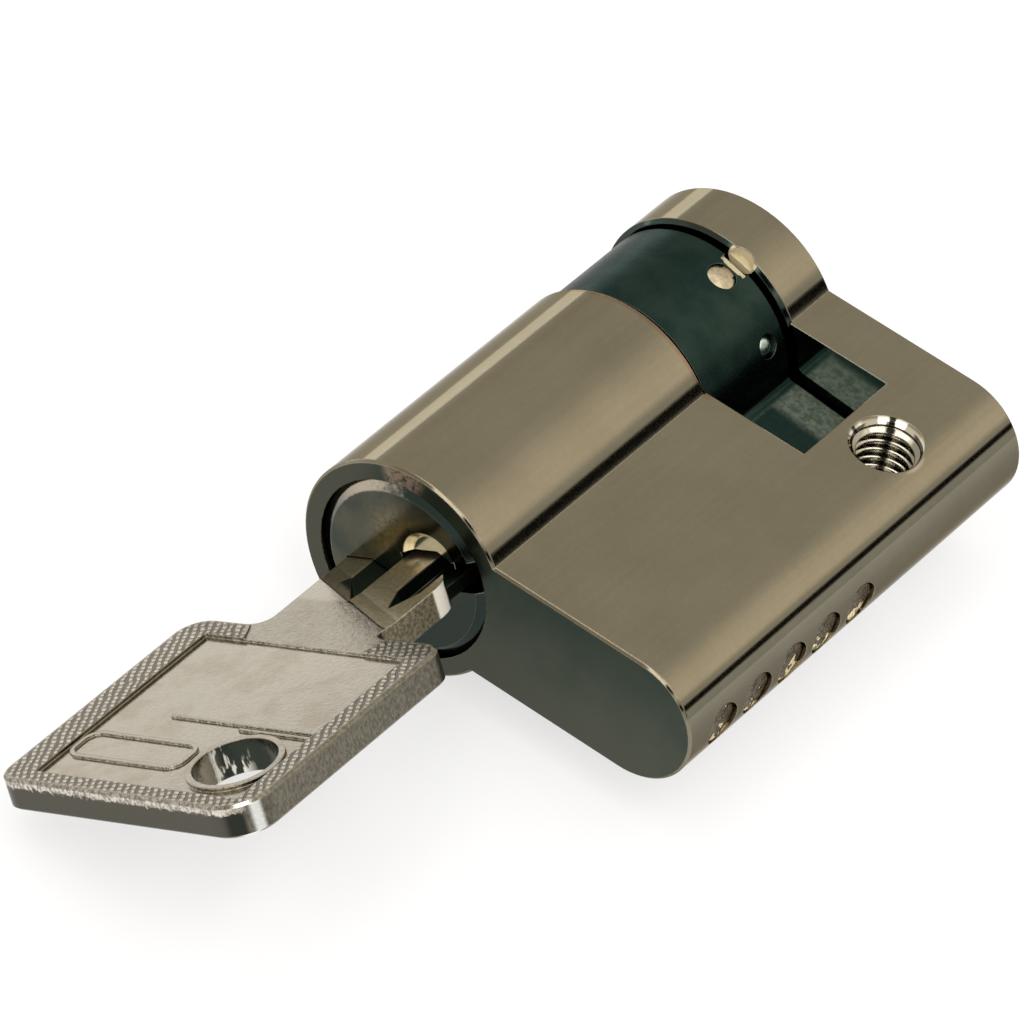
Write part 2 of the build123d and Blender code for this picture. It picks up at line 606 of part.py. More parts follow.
def ramp(top, length):
    """What the slope between the neck and a lower flat takes away, with all that is over the flat."""
    over = NECK_HALF + PAST
    left = Vector(BLADE_LEFT, FRONT_Y - BLADE_START_LEFT, 0)
    line = (Vector(BLADE_RIGHT, FRONT_Y - BLADE_START_RIGHT, 0) - left).normalized()
    reach = BLADE_START_RIGHT + BLADE_TIP
    plane = Plane(origin=left - line * reach, x_dir=Vector(0, 0, 1).cross(line), z_dir=line)
    section = Polygon((0, NECK_HALF), (length, top), (reach, top), (reach, over), (0, over), align=None)
    return extrude(plane * section, reach * 2, dir=line)


def blade_cuts():
    """Slopes, grooves with their run-outs and the plain edge's slope, as the solid to take away."""
    tip = FRONT_Y + BLADE_TIP + PAST
    over = NECK_HALF + PAST
    outside = BLADE_LEFT - PAST
    runout_tip = FRONT_Y - RUNOUT_TIP_Y
    runout_end = runout_tip + RUNOUT_LENGTH
    plain_half = block((outside, RIDGE_LEFT), (FRONT_Y - PANEL_TOP, tip), (-over, over))
    cuts = ramp(BLADE_TOP, RAMP_LENGTH) + (ramp(PLAIN_RIB_TOP, PLAIN_RAMP_LENGTH) & plain_half)
    cuts += along_key([(BLADE_LEFT, PLAIN_RIB_TOP), (NECK_LEFT, NECK_HALF), (NECK_LEFT, over),
                       (outside, over), (outside, PLAIN_RIB_TOP)], FRONT_Y - PANEL_TOP, tip)
    plain_tip = FRONT_Y - PLAIN_RUNOUT_TIP
    plain_groove = along_key([(PLAIN_RIB_RIGHT, PLAIN_RIB_TOP), (PLAIN_GROOVE_LEFT, GROOVE_FLOOR),
                              (RIDGE_LEFT, GROOVE_FLOOR), (RIDGE_LEFT, over), (PLAIN_RIB_RIGHT, over)],
                             plain_tip, tip)
    plain_plan = Polygon((RIDGE_LEFT, plain_tip), (PLAIN_RIB_RIGHT, FRONT_Y - PLAIN_RUNOUT_END),
                         (PLAIN_RIB_RIGHT, tip), (RIDGE_LEFT, tip), align=None)
    cut_plan = Polygon((RUNOUT_TIP_X, runout_tip), (CUT_RIB_LEFT, runout_end), (CUT_RIB_LEFT, tip),
                       (RIDGE_RIGHT, tip), (RIDGE_RIGHT, runout_end), align=None)
    back_start = FRONT_Y - BACK_RUNOUT
    back_plan = Pos((BACK_GROOVE_LEFT + BACK_GROOVE_RIGHT) / 2, (back_start + tip) / 2) \
        * Rectangle(BACK_GROOVE_RIGHT - BACK_GROOVE_LEFT, tip - back_start)
    cuts += plain_groove & slab(plain_plan, GROOVE_FLOOR, over)
    cuts += slab(cut_plan, GROOVE_FLOOR, over)
    return cuts + slab(back_plan, -over, -BLADE_BACK + BACK_GROOVE_DEPTH)


def key():
    """Key: bow, neck and warded blade with a staircase of cuts."""
    shank = slab(blade_outline(), -BLADE_BACK, NECK_HALF) - blade_cuts()
    corners = neck_corner(NECK_LEFT, NECK_ROUND_LEFT, -1) + neck_corner(BLADE_RIGHT, NECK_ROUND_RIGHT, 1)
    return PLUG_PLACE * (key_bow() + shank + slab(corners, -NECK_HALF, NECK_HALF))


def write(shape, node):
    """Write one piece under its node name."""
    export_step(shape, "parts/" + node + ".step")


def main():
    os.makedirs("parts", exist_ok=True)
    write(housing(), "housing")
    write(plug(), "plug")
    write(cam(), "cam")
    write(cam_ball(), "cam_ball")
    write(release_button(), "release_button")
    write(button_spring(), "button_spring")
    write(retaining_clip(), "retaining_clip")
    write(key(), "key")
    for index in range(PIN_COUNT):
        number = str(index + 1)
        write(key_pin(index), "key_pin_" + number)
        write(driver_pin(index), "driver_pin_" + number)
        write(pin_spring(index), "pin_spring_" + number)
        write(chamber_plug(index), "chamber_plug_" + number)


main()
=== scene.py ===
from math import radians, tau

import bpy
from mathutils import Matrix, Vector


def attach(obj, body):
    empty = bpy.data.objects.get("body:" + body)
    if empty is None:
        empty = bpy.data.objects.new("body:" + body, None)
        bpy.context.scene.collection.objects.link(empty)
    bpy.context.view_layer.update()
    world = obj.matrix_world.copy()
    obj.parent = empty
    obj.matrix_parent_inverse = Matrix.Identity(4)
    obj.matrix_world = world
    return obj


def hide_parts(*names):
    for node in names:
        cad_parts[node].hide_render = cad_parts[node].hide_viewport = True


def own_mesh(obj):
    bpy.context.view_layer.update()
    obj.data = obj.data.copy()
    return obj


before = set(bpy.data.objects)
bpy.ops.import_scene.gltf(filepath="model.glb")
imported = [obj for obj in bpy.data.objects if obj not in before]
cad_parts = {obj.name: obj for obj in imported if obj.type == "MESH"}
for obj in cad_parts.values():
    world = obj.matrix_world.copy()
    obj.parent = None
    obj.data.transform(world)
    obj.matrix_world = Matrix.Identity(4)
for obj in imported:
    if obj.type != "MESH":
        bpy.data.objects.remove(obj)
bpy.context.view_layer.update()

MM = 0.001

# Places and sizes on the part, in mm. A place with two numbers is (x, z), seen along the plug's axis.
AXIS_X = -18.9             # plug axis, ahead of the screw axis
PLUG_AXIS = (AXIS_X, 0)
FRONT_Y = -30.0            # key side face
BARREL_R = 8.5
FLOOR_Z = -BARREL_R        # what the barrel rests on
FLOOR_R = 450
GAP_FRONT_Y = -5.14
GAP_BACK_Y = 5.0
GAP_FLOOR_X = -3.57
SCREW_MOUTH_R = 2.85
SCREW_ROOT_R = 2.5
FLANGE_R = 7.0             # of the plug's face
RIM_STAIN_AT = (-20.4, 7.9)
KEY_REFLECTION_AT = (-19.6, 2.4)
CAM_RING_R = 8.1
BALL_AT = (-12.8, 4.6)     # seat of the cam's ball
BALL_Y = 2.6
RELIEF_AT = (-16.84, 7.84)              # milled relief in the cam's back edge and the housing's rim
RELIEF_R = 1.1
RELIEF_FRONT_Y = 3.8
PINS = 5
BUTTON_PUSH = (-0.2537579, 0, -0.9672678)

# On the key: across it from the plug's axis, and ahead of the housing's face
KEY_TURN = 30.0
RIM_TOP = 1.225            # the rim above the key's middle plane
PANEL = (-7.6, 10.4, 12.3, 30.7)        # sunk panel: left, right, top and end
RING_HOLE = (6.9, 26.6)
LEAD_IN = (2.65, 0.9)      # centre of the plug's lead-in, across and through the key
LEAD_IN_R = 2.2
HATCH_PITCH = 0.55

# Across the photo's line of sight, and towards it, seen from above
SIGHT_ACROSS = (0.88, 0.47)
SIGHT_TOWARD = (0.47, -0.88)

# Colours. Where there are two, a noise or a mask goes from the first to the second.
BLACK = (0, 0, 0)
WHITE = (1, 1, 1)

PLATE = (0.225, 0.2, 0.147), (0.235, 0.212, 0.158)
PLATE_FOOT_SHADE = (0.156, 0.144, 0.113)
PLATE_WORN = (0.5, 0.43, 0.31)
PLATE_TINT = (0.55, 0.52, 0.46)
MILLED_SHADE = (0.08, 0.086, 0.068), (0.036, 0.052, 0.042)
MILLED_LEFT_SHADE = (0.078, 0.078, 0.06)
RIM_STAIN = (0.33, 0.25, 0.185)
SHADED = (0.03, 0.032, 0.026)
GAP_WALL = (0.4, 0.46, 0.42)
GAP_WALL_SHADE = (0.03, 0.045, 0.04)
GAP_RIM_STAIN = (0.23, 0.145, 0.098)
THREAD = (0.86, 0.82, 0.72)
THREAD_DARK_REFLECTION = (0.03, 0.03, 0.02)
BEHIND_GAP_SHADE = (0.045, 0.062, 0.055)
HOUSING_RELIEF = (0.58, 0.5, 0.33)

FACE = (0.052, 0.061, 0.049), (0.09, 0.086, 0.063)
FACE_SHADE_RIGHT = (0.036, 0.046, 0.038)
KEY_REFLECTION = (0.23, 0.19, 0.11)
BEVEL_HIGHLIGHT = (0.4, 0.345, 0.275), (0.13, 0.14, 0.11)
BEVEL_SHADE = (0.026, 0.038, 0.034)
KEYWAY_SHADE = (0.03, 0.034, 0.028)
LEAD_IN_HIGHLIGHT = (0.8, 0.77, 0.68)
PLUG_EDGE = (0.5, 0.46, 0.36)

CAM = (0.013, 0.028, 0.025), (0.024, 0.042, 0.036)
CAM_PORES = (0.07, 0.1, 0.09)
CAM_GROUND = (0.07, 0.086, 0.074), (0.155, 0.175, 0.148)
CAM_GROUND_SHADOW = (0.01, 0.025, 0.023)
CAM_BALL_SEAT = (0.16, 0.21, 0.2)
CAM_RELIEF = (0.012, 0.012, 0.008), (0.5, 0.44, 0.3)
CAM_EDGE = (0.16, 0.19, 0.165)
CAM_TINT = (0.56, 0.56, 0.56)

KEY = (0.194, 0.17, 0.129), (0.222, 0.197, 0.149)
KEY_STAIN = (0.16, 0.133, 0.091)
KEY_HATCH = (0.05, 0.04, 0.023), (0.28, 0.247, 0.187)
KEY_PUNCHED = (0.125, 0.113, 0.085), (0.215, 0.196, 0.155)
KEY_END_SHADE = (0.09, 0.085, 0.068)
KEY_BURR = (0.3, 0.27, 0.22), (0.75, 0.7, 0.62)
KEY_CORNER_HIGHLIGHT = (0.95, 0.94, 0.9)
KEY_EDGE = (0.5, 0.46, 0.38)
HOLE_REFLECTION = (0.034, 0.04, 0.032), (0.19, 0.16, 0.115)
HOLE_STREAKS = (0.13, 0.112, 0.083)
HOLE_GLINTS = (0.75, 0.71, 0.63)
BLADE = (0.5, 0.43, 0.28), (0.66, 0.58, 0.41)
BLADE_POCKET_SHADOW = (0.028, 0.044, 0.036)
FLANK = (0.33, 0.275, 0.19), (0.62, 0.55, 0.42)
SHOULDER_HIGHLIGHT = (0.96, 0.93, 0.86)
FLANK_SHADE_AT_FACE = (0.03, 0.045, 0.038)

CHAMBER_BRONZE = (0.028, 0.018, 0.009), (0.125, 0.086, 0.04)
CHAMBER_GLINTS = (1.0, 0.84, 0.5)
PIN_BRASS = (0.62, 0.47, 0.25)
BUTTON_BRASS = (0.49, 0.415, 0.29)
BALL_STEEL = (0.4, 0.48, 0.45)
STEEL = (0.42, 0.42, 0.4)

FLOOR_PAPER = (0.34, 0.345, 0.365)
STUDIO_LEFT = (0.82, 0.79, 0.69)
STUDIO_RIGHT = (1.45, 1.32, 1.12)
STUDIO_RIGHT_LOW = (0.8, 0.78, 0.7)
STUDIO_BELOW = (1, 1, 1), (0.76, 0.78, 0.76)
STUDIO_TOP = (1.6, 1.56, 1.47)
STUDIO_FRONT = (0.62, 0.56, 0.46)
SOFT_BOXES = (2.8, 2.7, 2.5)


class Graph:
    """Node tree of a material or a world, with short calls for the nodes that they share."""

    def __init__(self, owner):
        owner.use_nodes = True
        self.tree = owner.node_tree
        self.tree.nodes.clear()

    def set(self, socket, value):
        if isinstance(value, bpy.types.NodeSocket):
            self.tree.links.new(value, socket)
        elif socket.type == "RGBA":
            socket.default_value = (*value, 1.0)
        else:
            socket.default_value = value

    def add(self, kind, inputs=None, **settings):
        node = self.tree.nodes.new(kind)
        for name, value in settings.items():
            setattr(node, name, value)
        for key, value in (inputs or {}).items():
            self.set(node.inputs[key], value)
        return node

    def math(self, operation, *values):
        return self.add("ShaderNodeMath", dict(enumerate(values)), operation=operation).outputs[0]

    def chain(self, operation, values):
        result = values[0]
        for value in values[1:]:
            result = self.math(operation, result, value)
        return result

    def times(self, *values):
        return self.chain("MULTIPLY", values)

    def plus(self, *values):
        return self.chain("ADD", values)

    def largest(self, *values):
        return self.chain("MAXIMUM", values)

    def minus(self, first, second):
        return self.math("SUBTRACT", first, second)

    def inverse(self, mask):
        return self.minus(1.0, mask)

    def absolute(self, value):
        return self.math("ABSOLUTE", value)

    def weigh(self, first, second, weights):
        """Sum of two values, each times its weight."""
        return self.plus(self.times(first, weights[0]), self.times(second, weights[1]))

    def distance(self, first, second, at=(0.0, 0.0)):
        """Distance in a plane from a point."""
        across = self.minus(first, at[0])
        along = self.minus(second, at[1])
        return self.math("SQRT", self.plus(self.times(across, across), self.times(along, along)))

    def step(self, value, low, high, start=0.0, end=1.0):
        """Smooth change from start to end as the value goes from low to high."""
        node = self.add("ShaderNodeMapRange", {0: value, 1: low, 2: high, 3: start, 4: end},
                        interpolation_type="SMOOTHSTEP")
        return node.outputs[0]

    def band(self, value, low, high, soft):
        """1 between two values and 0 outside, with soft edges."""
        rise = self.step(value, low - soft, low + soft)
        fall = self.step(value, high - soft, high + soft, 1.0, 0.0)
        return self.times(rise, fall)

    def mix(self, factor, first, second):
        """Colour between two colours."""
        return self.add("ShaderNodeMix", {0: factor, 6: first, 7: second}, data_type="RGBA").outputs[2]

    def blend(self, factor, first, second):
        """Number between two numbers."""
        return self.add("ShaderNodeMix", {0: factor, 2: first, 3: second}, data_type="FLOAT").outputs[0]

    def split(self, vector):
        return self.add("ShaderNodeSeparateXYZ", {0: vector}).outputs

    def join(self, *values):
        return self.add("ShaderNodeCombineXYZ", dict(enumerate(values))).outputs[0]

    def vector_math(self, operation, first, second, output=0):
        return self.add("ShaderNodeVectorMath", {0: first, 1: second}, operation=operation).outputs[output]

    def scaled(self, vector, factors):
        return self.vector_math("MULTIPLY", vector, factors)

    def noise(self, vector, scale, detail, roughness=0.55, distortion=0.0):
        node = self.add("ShaderNodeTexNoise", {"Vector": vector, "Scale": scale, "Detail": detail,
                                               "Roughness": roughness, "Distortion": distortion})
        return node.outputs["Fac"]

    def bump(self, height, distance, strength, normal):
        """Normal with the height's relief. The distance is what a height of 1 stands for, in mm."""
        inputs = {"Height": height, "Distance": distance * MM, "Strength": strength, "Normal": normal}
        return self.add("ShaderNodeBump", inputs).outputs[0]

    def output(self, kind, shader):
        self.add(kind, {0: shader.outputs[0]})


def metal(name, describe):
    """Metal material. describe gives the shader's inputs from the object's place, in mm, and its normal."""
    material = bpy.data.materials.new(name)
    graph = Graph(material)
    coordinates = graph.add("ShaderNodeTexCoord").outputs
    place = graph.scaled(coordinates["Object"], (1 / MM, 1 / MM, 1 / MM))
    inputs = describe(graph, place, coordinates["Normal"])
    shader = graph.add("ShaderNodeBsdfPrincipled", {"Metallic": 1.0, **inputs})
    graph.output("ShaderNodeOutputMaterial", shader)
    return material


def rounded(graph, radius):
    """Normal that rounds off sharp edges by a radius in mm."""
    return graph.add("ShaderNodeBevel", {"Radius": radius * MM}, samples=6).outputs[0]


def edges(graph, soft, full=0.9):
    """Mask of the sharp edges. It is 1 where the cosine between the rounded and the true normal is full."""
    true = graph.add("ShaderNodeNewGeometry").outputs["Normal"]
    cosine = graph.vector_math("DOT_PRODUCT", soft, true, "Value")
    return graph.step(cosine, 0.95 + 0.05 * full, full)


def housing_finish(graph, place, normal):
    """Polished nickel plate over brass, with painted shade in its hollows. The front face is milled and
    painted dark as shade, the gap's walls and the thread are bright.
    """
    x, y, z = graph.split(place)
    nx, ny, nz = graph.split(normal)
    soft = rounded(graph, 0.12)
    drawn = graph.noise(graph.scaled(place, (2.6, 0.05, 2.6)), 1.0, 4.0, 0.6)
    cloud = graph.noise(place, 0.16, 3.0)
    speck = graph.noise(place, 7.0, 2.0)
    grain = graph.noise(place, 2.2, 4.0, 0.7)
    plug_axis = graph.distance(x, z, PLUG_AXIS)
    screw_axis = graph.distance(x, y)

    # Plate, with painted shade darkening the foot's crown
    plate = graph.mix(graph.step(drawn, 0.3, 0.75), *PLATE)
    plate = graph.mix(graph.step(nx, 0.8, 0.97), plate, PLATE_FOOT_SHADE)
    shade = graph.times(graph.step(cloud, 0.3, 0.7, 0.96, 1.04), graph.step(grain, 0.3, 0.7, 0.975, 1.025))
    plate = graph.add("ShaderNodeVectorMath", {0: plate, "Scale": shade}, operation="SCALE").outputs[0]

    # Front face, milled, and painted dark as shade, most towards the top and greyer at its left, with a stain
    # on its rim
    front = graph.times(graph.step(ny, -0.8, -0.95), graph.step(y, FRONT_Y + 0.4, FRONT_Y + 0.2))
    shade_clouds = graph.weigh(z, graph.noise(place, 0.3, 3.0), (0.055, 0.4))
    shaded_milled = graph.mix(graph.step(shade_clouds, -0.05, 0.6), *MILLED_SHADE)
    shaded_milled = graph.mix(graph.times(graph.step(x, -20.0, -24.0), 0.8), shaded_milled, MILLED_LEFT_SHADE)
    stain = graph.times(graph.step(graph.distance(x, z, RIM_STAIN_AT), 2.1, 1.1),
                        graph.step(grain, 0.35, 0.55), 0.85)
    shaded_milled = graph.mix(stain, shaded_milled, RIM_STAIN)
    colour = graph.mix(front, plate, shaded_milled)

    # Plug bore, painted dark as shade
    bore = graph.times(graph.step(plug_axis, FLANGE_R + 0.12, FLANGE_R + 0.04),
                       graph.step(y, GAP_FRONT_Y - 0.36, GAP_FRONT_Y - 0.46))
    colour = graph.mix(bore, colour, SHADED)

    # Walls of the cam gap, with painted shade on their part inside the barrel's round, and the stain on the
    # rim ahead of it
    walls = graph.times(graph.band(y, GAP_FRONT_Y - 0.02, GAP_BACK_Y + 0.06, 0.04),
                        graph.step(x, GAP_FLOOR_X + 0.08, GAP_FLOOR_X + 0.04), graph.step(nz, 0.5, 0.3))
    colour = graph.mix(walls, colour, GAP_WALL)
    wall_shade = graph.times(walls, graph.step(plug_axis, BARREL_R + 0.1, BARREL_R - 0.2))
    colour = graph.mix(wall_shade, colour, GAP_WALL_SHADE)
    rim = graph.times(graph.band(y, GAP_FRONT_Y - 0.58, GAP_FRONT_Y - 0.02, 0.08),
                      graph.step(plug_axis, BARREL_R + 0.7, BARREL_R + 0.2),
                      graph.step(grain, 0.3, 0.55), 0.85)
    colour = graph.mix(rim, colour, GAP_RIM_STAIN)

    # Thread, with painted dark reflections in strips down its middle and at each side, across the line of
    # sight
    thread = graph.times(graph.step(screw_axis, SCREW_MOUTH_R, SCREW_MOUTH_R - 0.25),
                         graph.step(nz, 0.95, 0.8))
    colour = graph.mix(thread, colour, THREAD)
    across = graph.absolute(graph.weigh(x, y, SIGHT_ACROSS))
    dark_reflection = graph.largest(graph.step(across, 0.42, 0.26), graph.step(across, 1.6, 1.9))
    grooves = graph.step(screw_axis, SCREW_ROOT_R + 0.12, SCREW_ROOT_R + 0.06)
    colour = graph.mix(graph.times(thread, dark_reflection, grooves, 0.9), colour, THREAD_DARK_REFLECTION)

    # Painted shade in a line behind the gap, and the brass of the relief
    behind_shade = graph.times(graph.band(y, GAP_BACK_Y - 0.02, GAP_BACK_Y + 0.27, 0.02),
                         graph.step(plug_axis, BARREL_R + 0.1, BARREL_R))
    colour = graph.mix(behind_shade, colour, BEHIND_GAP_SHADE)
    relief = graph.times(graph.band(y, GAP_BACK_Y - 0.02, GAP_BACK_Y + 0.72, 0.02),
                         graph.step(graph.distance(x, z, RELIEF_AT), RELIEF_R + 0.09, RELIEF_R + 0.04),
                         graph.step(plug_axis, BARREL_R - 0.03, BARREL_R - 0.07))
    colour = graph.mix(relief, colour, HOUSING_RELIEF)

    # Worn edges, but not those of the gap
    worn = graph.times(edges(graph, soft), graph.step(speck, 0.4, 0.6), 0.4,
                       graph.step(graph.absolute(y), 5.0, 5.6))
    colour = graph.mix(worn, colour, PLATE_WORN)
    rough = graph.step(speck, 0.3, 0.8, 0.06, 0.11)
    rough = graph.blend(front, rough, 0.28)
    rough = graph.blend(relief, rough, 0.4)
    ripple = graph.weigh(drawn, cloud, (0.25, 1.0))
    return {"Base Color": colour, "Roughness": rough, "Specular Tint": PLATE_TINT,
            "Metallic": graph.inverse(relief), "Normal": graph.bump(ripple, 0.02, 0.16, soft)}


def plug_finish(graph, place, normal):
    """Polished dark face with fine turning rings, painted shade on its lower right and in the keyway, a
    painted highlight on the bevel and on the lead-in, and a painted golden reflection of the key at the
    keyway.
    """
    x, y, z = graph.split(place)
    soft = rounded(graph, 0.08)
    radius = graph.distance(x, z, PLUG_AXIS)
    rings = graph.noise(graph.join(radius), 9.0, 3.0)
    cloud = graph.noise(place, 0.5, 3.0)
    grain = graph.noise(place, 2.6, 4.0, 0.65)
    colour = graph.mix(graph.step(cloud, 0.3, 0.7), *FACE)
    # Painted shade, darker towards the lower right of the face
    colour = graph.mix(graph.step(graph.minus(z, x), 21.0, 13.0), colour, FACE_SHADE_RIGHT)
    # Painted golden reflection of the key's blade at the keyway
    brass_coloured = graph.times(graph.step(graph.distance(x, z, KEY_REFLECTION_AT), 3.6, 0.8),
                        graph.step(grain, 0.25, 0.6), 0.75)
    colour = graph.mix(brass_coloured, colour, KEY_REFLECTION)

    # Bevel, with a painted highlight on its left and upper part, dimmer low down, and painted shade elsewhere
    bevel = graph.step(graph.plus(radius, graph.times(grain, 0.3)), 6.22, 6.42)
    tilt = graph.weigh(graph.minus(x, AXIS_X), grain, (0.08, 0.4))
    low = graph.step(graph.minus(z, graph.times(radius, 0.1)), 4.0, 0.5)
    bevel_highlight = graph.mix(low, *BEVEL_HIGHLIGHT)
    colour = graph.mix(bevel, colour, graph.mix(graph.step(tilt, -0.12, 0.16), bevel_highlight, BEVEL_SHADE))

    # Inside of the keyway, painted dark as shade, and its lead-in, painted pale as a highlight
    colour = graph.mix(graph.step(y, FRONT_Y + 0.5, FRONT_Y + 0.9), colour, KEYWAY_SHADE)
    across, _, through = graph.split(key_frame(graph, place))
    lead_in = graph.times(graph.step(graph.distance(across, through, LEAD_IN), LEAD_IN_R + 0.05, LEAD_IN_R),
                          graph.band(y, FRONT_Y + 0.03, FRONT_Y + 0.58, 0.02))
    colour = graph.mix(lead_in, colour, LEAD_IN_HIGHLIGHT)
    colour = graph.mix(graph.times(edges(graph, soft), 0.7), colour, PLUG_EDGE)
    return {"Base Color": colour, "Roughness": graph.step(cloud, 0.3, 0.7, 0.1, 0.18),
            "Normal": graph.bump(rings, 0.02, 0.25, soft)}


def cam_finish(graph, place, normal):
    """Sintered steel, dark and oiled, with fine pores. The nose's top is ground lighter, with a painted
    shadow over its front part.
    """
    x, y, z = graph.split(place)
    soft = rounded(graph, 0.1)
    cloud = graph.noise(place, 0.4, 4.0)
    pores = graph.noise(place, 9.0, 4.0, 0.7)
    mottle = graph.noise(place, 2.4, 5.0, 0.7)
    plug_axis = graph.distance(x, z, PLUG_AXIS)
    colour = graph.mix(graph.step(cloud, 0.3, 0.7), *CAM)
    colour = graph.mix(graph.times(graph.step(pores, 0.62, 0.75), 0.4), colour, CAM_PORES)

    ground = graph.times(graph.step(plug_axis, 8.7, 9.1), graph.step(z, -0.2, 0.2))
    colour = graph.mix(ground, colour, graph.mix(graph.step(mottle, 0.36, 0.64), *CAM_GROUND))
    # Painted shadow over the front part of the nose's top
    colour = graph.mix(graph.times(ground, graph.step(y, 2.0, 0.9), 0.95), colour, CAM_GROUND_SHADOW)

    seat = graph.times(graph.step(graph.distance(x, z, BALL_AT), 1.5, 1.3),
                       graph.band(y, BALL_Y - 1.05, BALL_Y + 1.05, 0.05),
                       graph.step(plug_axis, CAM_RING_R - 0.04, CAM_RING_R - 0.08))
    colour = graph.mix(seat, colour, CAM_BALL_SEAT)

    relief = graph.times(graph.step(graph.distance(x, z, RELIEF_AT), RELIEF_R + 0.14, RELIEF_R + 0.06),
                         graph.step(y, RELIEF_FRONT_Y - 0.02, RELIEF_FRONT_Y + 0.02),
                         graph.step(plug_axis, CAM_RING_R - 0.03, CAM_RING_R - 0.07))
    brass_coloured = graph.step(y, RELIEF_FRONT_Y + 0.15, RELIEF_FRONT_Y + 0.22)
    colour = graph.mix(relief, colour, graph.mix(brass_coloured, *CAM_RELIEF))
    colour = graph.mix(graph.times(edges(graph, soft), 0.5), colour, CAM_EDGE)
    rough = graph.blend(ground, graph.step(pores, 0.3, 0.75, 0.22, 0.36), 0.42)
    return {"Base Color": colour, "Roughness": rough, "Specular Tint": CAM_TINT,
            "Metallic": graph.inverse(relief), "Normal": graph.bump(pores, 0.02, 0.4, soft)}


def turned_to_key(graph, vector):
    """Vector whose parts go across, along and through the key."""
    turn = (0, radians(KEY_TURN), 0)
    return graph.add("ShaderNodeMapping", {"Vector": vector, "Rotation": turn}).outputs[0]


def key_frame(graph, place):
    """Place across, along and through the key, from the plug's axis."""
    return turned_to_key(graph, graph.vector_math("SUBTRACT", place, (AXIS_X, 0, 0)))


def hatch(graph, w, out):
    """Milled hatch: slanting strokes, cut across into short beads."""
    wander = graph.times(graph.noise(graph.join(w, out), 0.9, 2.0), 0.5)
    stroke = graph.plus(graph.weigh(w, out, (0.89, -0.46)), wander)
    bead = graph.plus(graph.weigh(w, out, (0.3, 0.95)), wander)
    strokes = graph.math("SINE", graph.times(stroke, tau / HATCH_PITCH))
    beads = graph.math("SINE", graph.times(bead, tau / (0.9 * HATCH_PITCH)))
    return graph.times(graph.step(strokes, -0.6, 0.25), graph.step(beads, -0.8, 0.0, 0.4, 1.0))


